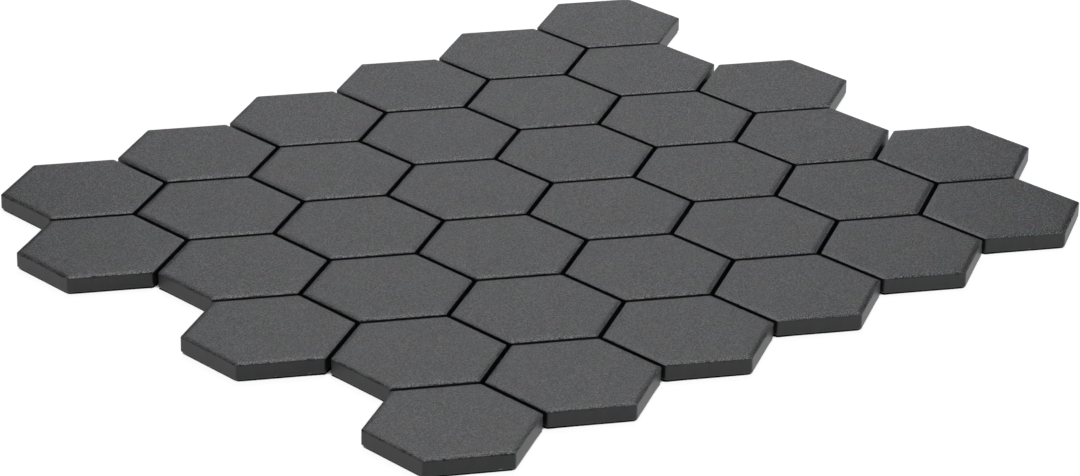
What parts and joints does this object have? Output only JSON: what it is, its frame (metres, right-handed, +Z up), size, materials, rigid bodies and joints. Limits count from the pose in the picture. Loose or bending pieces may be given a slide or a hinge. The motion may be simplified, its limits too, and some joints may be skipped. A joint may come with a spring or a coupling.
{
  "type": "hexagon mosaic floor tile sheet",
  "caption": "Mosaic sheet of dark grey unglazed porcelain hexagon floor tiles with cushioned edges and open grout joints, held by a net glued to their backs.",
  "frame": {"origin": "centre of the sheet's outline, on the surface that it lies on (underside of the net)", "axes": "+X along the rows of tiles, +Y across the rows, +Z up through the wearing faces"},
  "size_m": [0.3504, 0.2948, 0.0064],
  "materials": {
    "tile": "matte",
    "net": "matte"
  },
  "bodies": {
    "root": {"tile_row1_no1": "tile", "tile_row1_no2": "tile", "tile_row1_no3": "tile", "tile_row1_no4": "tile", "tile_row1_no5": "tile", "tile_row1_no6": "tile", "tile_row2_no1": "tile", "tile_row2_no2": "tile", "tile_row2_no3": "tile", "tile_row2_no4": "tile", "tile_row2_no5": "tile", "tile_row2_no6": "tile", "tile_row3_no1": "tile", "tile_row3_no2": "tile", "tile_row3_no3": "tile", "tile_row3_no4": "tile", "tile_row3_no5": "tile", "tile_row3_no6": "tile", "tile_row4_no1": "tile", "tile_row4_no2": "tile", "tile_row4_no3": "tile", "tile_row4_no4": "tile", "tile_row4_no5": "tile", "tile_row4_no6": "tile", "tile_row5_no1": "tile", "tile_row5_no2": "tile", "tile_row5_no3": "tile", "tile_row5_no4": "tile", "tile_row5_no5": "tile", "tile_row5_no6": "tile", "tile_row6_no1": "tile", "tile_row6_no2": "tile", "tile_row6_no3": "tile", "tile_row6_no4": "tile", "tile_row6_no5": "tile", "tile_row6_no6": "tile", "net_long_yarns": "net", "net_cross_yarns": "net"}
  },
  "joints": []
}
